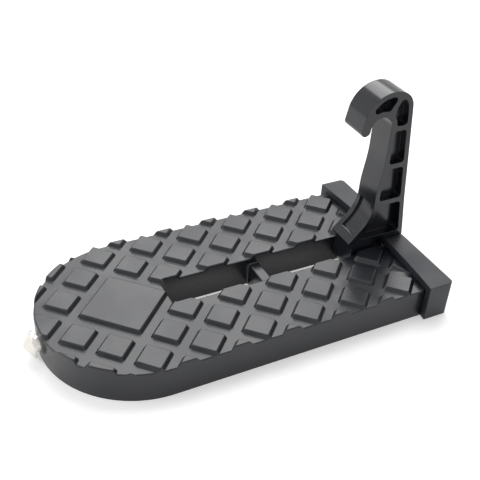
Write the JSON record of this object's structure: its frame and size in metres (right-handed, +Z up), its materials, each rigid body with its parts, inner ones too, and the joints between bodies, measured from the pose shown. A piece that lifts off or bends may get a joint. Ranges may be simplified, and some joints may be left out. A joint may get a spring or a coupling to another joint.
{
  "type": "roof access step",
  "caption": "Aluminium step with a diamond tread and a fold-down hook that hangs on a car's door latch loop, with a rubber bumper and a glass breaker at the nose.",
  "frame": {"origin": "centre of the overall box, at the height of the pedal's underside", "axes": "+X from the nose to the rubber bumper, +Y across the step, +Z up through the treads and the raised hook"},
  "size_m": [0.187, 0.096, 0.0983],
  "materials": {
    "coated_casting": "semi-gloss",
    "coated_hook": "gloss",
    "zinc_steel": "satin",
    "nickel_steel": "polished",
    "bronze": "satin",
    "rubber": "matte"
  },
  "bodies": {
    "step": {"pedal_casting": "coated_casting", "hinge_pin": "zinc_steel", "retaining_ring_near": "zinc_steel", "retaining_ring_far": "zinc_steel", "thrust_washer_near": "bronze", "thrust_washer_far": "bronze", "bumper_cap": "rubber", "breaker_tip": "nickel_steel"},
    "hook": {"hook_casting": "coated_hook"}
  },
  "joints": [
    {"name": "hook_fold", "type": "hinge", "parent": "step", "child": "hook", "pos_m": [0.0708, 0, 0.0079], "axis": [0, -1, 0], "range_deg": [0, 90]}
  ]
}
